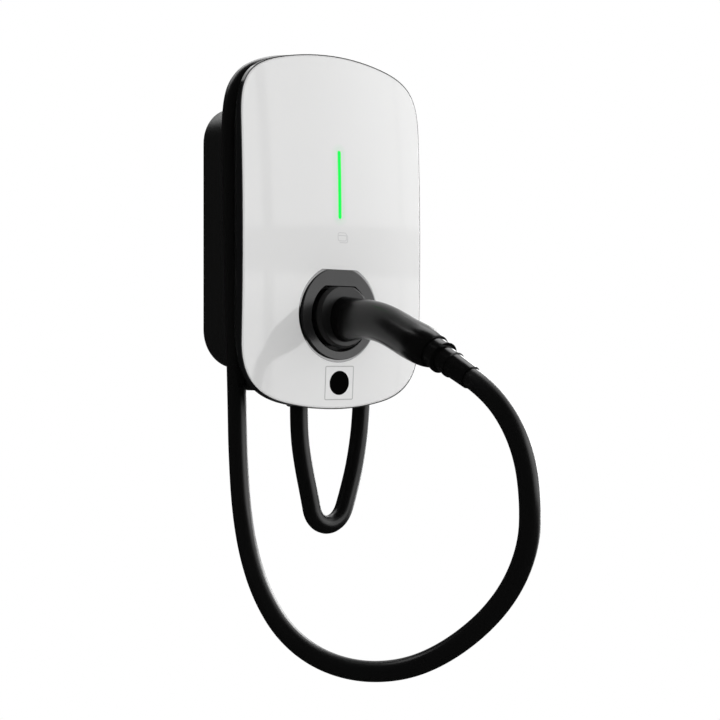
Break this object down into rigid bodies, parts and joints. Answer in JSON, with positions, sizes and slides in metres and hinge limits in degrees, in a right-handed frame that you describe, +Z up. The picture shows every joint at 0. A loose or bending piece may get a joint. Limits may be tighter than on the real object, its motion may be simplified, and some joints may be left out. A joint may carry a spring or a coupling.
{
  "type": "electric vehicle wall charger",
  "caption": "Wall-mounted car charger: crowned white cover over a black housing, a light bar, and a tethered cable wound round its neck, with its connector parked in the holster.",
  "frame": {"origin": "on the wall, at the centre of the wall bracket's four screw holes", "axes": "+Z up along the wall, +Y into the wall, so the front cover faces -Y, +X to the right seen from the front"},
  "size_m": [0.2018, 0.3572, 0.5535],
  "materials": {
    "cover_white": "gloss white moulding",
    "housing_black": "satin to gloss black moulding",
    "rear_black": "satin black, fine grain",
    "cup_black": "matt black",
    "ring_grey": "fine-grained dark grey",
    "bezel_grey": "glossy light grey",
    "handle_black": "satin black soft-touch",
    "nose_black": "satin black",
    "cable_black": "semi-gloss black sheath",
    "gland_black": "satin black",
    "gasket_rubber": "matt",
    "light_bar": "green translucent light bar",
    "bracket_steel": "zinc-plated sheet",
    "screw_steel": "zinc-plated",
    "contact_metal": "silver-plated brass",
    "board_green": "green solder mask",
    "module_black": "black component casings",
    "module_grey": "light grey casings",
    "led_white": "clear"
  },
  "bodies": {
    "root": {"boot": "handle_black", "charging_cable": "cable_black", "connector_handle": "handle_black", "connector_insert": "nose_black", "connector_nose": "nose_black", "contacts": "contact_metal", "control_board": "board_green", "control_modules": "module_black", "control_screws": "screw_steel", "cup_screws": "screw_steel", "energy_meter": "module_grey", "fault_current_sensor": "module_black", "front_cover": "cover_white", "front_gasket": "gasket_rubber", "front_housing": "housing_black", "front_screws": "screw_steel", "gland_body": "gland_black", "gland_locknut": "gland_black", "gland_nut": "gland_black", "gland_seal": "gasket_rubber", "holster_bezel": "bezel_grey", "holster_cup": "cup_black", "holster_ring": "ring_grey", "led_board": "board_green", "led_screws": "screw_steel", "leds": "led_white", "light_guide": "light_bar", "neck": "rear_black", "power_board": "board_green", "power_screws": "screw_steel", "power_supply": "module_black", "reader_board": "board_green", "reader_screws": "screw_steel", "rear_gasket": "gasket_rubber", "rear_housing": "rear_black", "rear_screws": "screw_steel", "relays": "module_black", "supply_gland": "gland_black", "supply_locknut": "gland_black", "terminal_block": "module_grey", "wall_bracket": "bracket_steel"}
  },
  "joints": []
}
